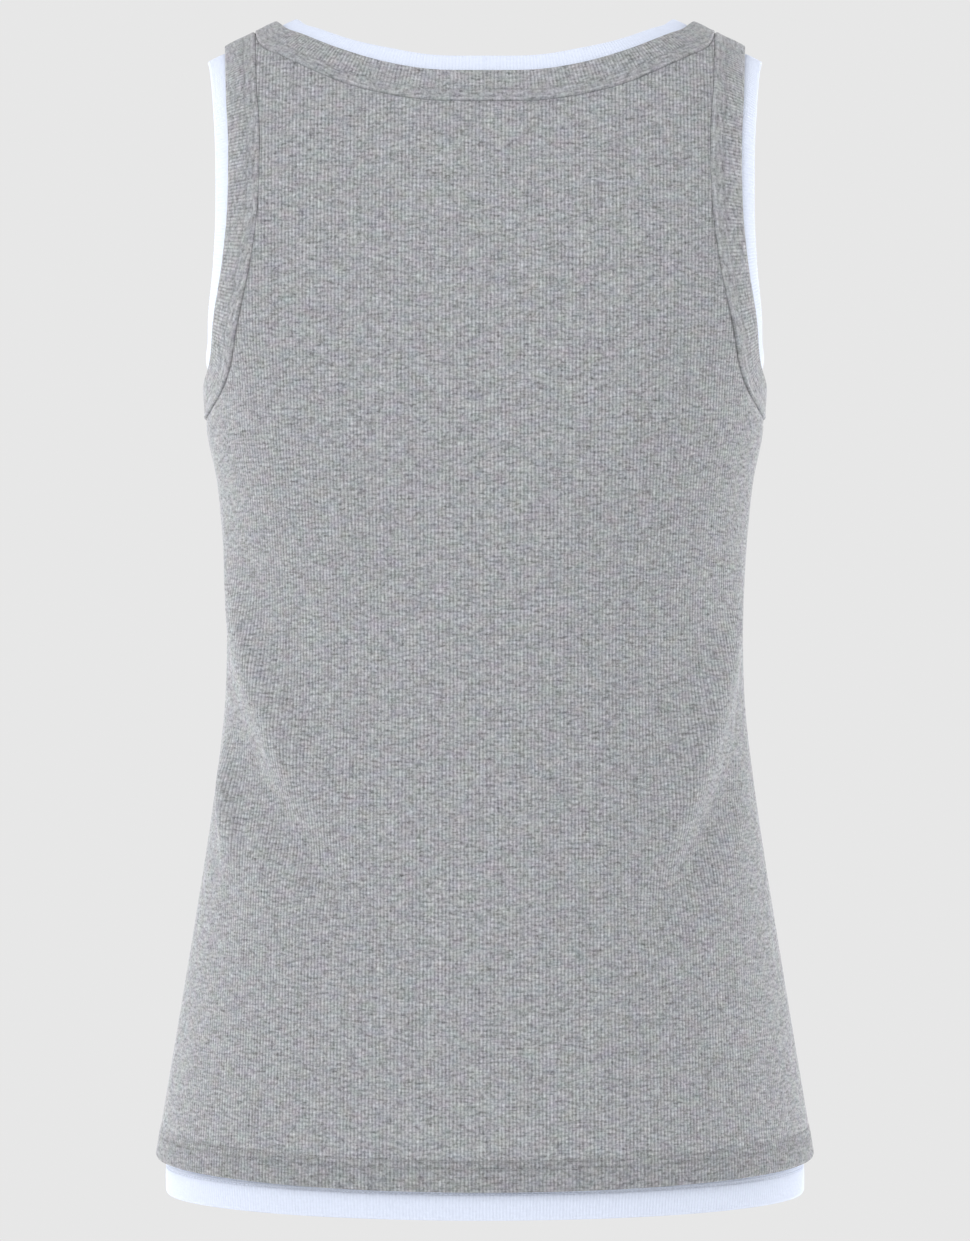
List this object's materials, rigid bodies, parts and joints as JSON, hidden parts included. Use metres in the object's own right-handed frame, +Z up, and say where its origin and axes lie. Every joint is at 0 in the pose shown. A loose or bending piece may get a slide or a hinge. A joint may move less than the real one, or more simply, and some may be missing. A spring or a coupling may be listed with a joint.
{
  "type": "two-layer rib-knit tank top",
  "caption": "Sleeveless rib-knit top made of a grey layer over a slightly larger white layer, with bound neck and armholes and open hem, filled out as worn.",
  "frame": {"origin": "midway between the two shoulder straps, at the middle of their height, where the wearer's shoulders hold the top up", "axes": "+Z up, the back of the top faces -Y, the front faces +Y, and the wearer's left side is at -X"},
  "size_m": [0.3546, 0.2404, 0.6342],
  "materials": {
    "grey_rib": "grey marl fine rib knit, matt",
    "grey_binding": "grey marl rib strip, matt",
    "white_rib": "white fine rib knit, matt",
    "white_binding": "white rib strip, matt"
  },
  "bodies": {
    "root": {"outer_back": "grey_rib", "outer_front": "grey_rib", "outer_neck_band": "grey_binding", "outer_arm_band_right": "grey_binding", "outer_arm_band_left": "grey_binding", "inner_back": "white_rib", "inner_front": "white_rib", "inner_neck_band": "white_binding", "inner_arm_band_right": "white_binding", "inner_arm_band_left": "white_binding"}
  },
  "joints": []
}
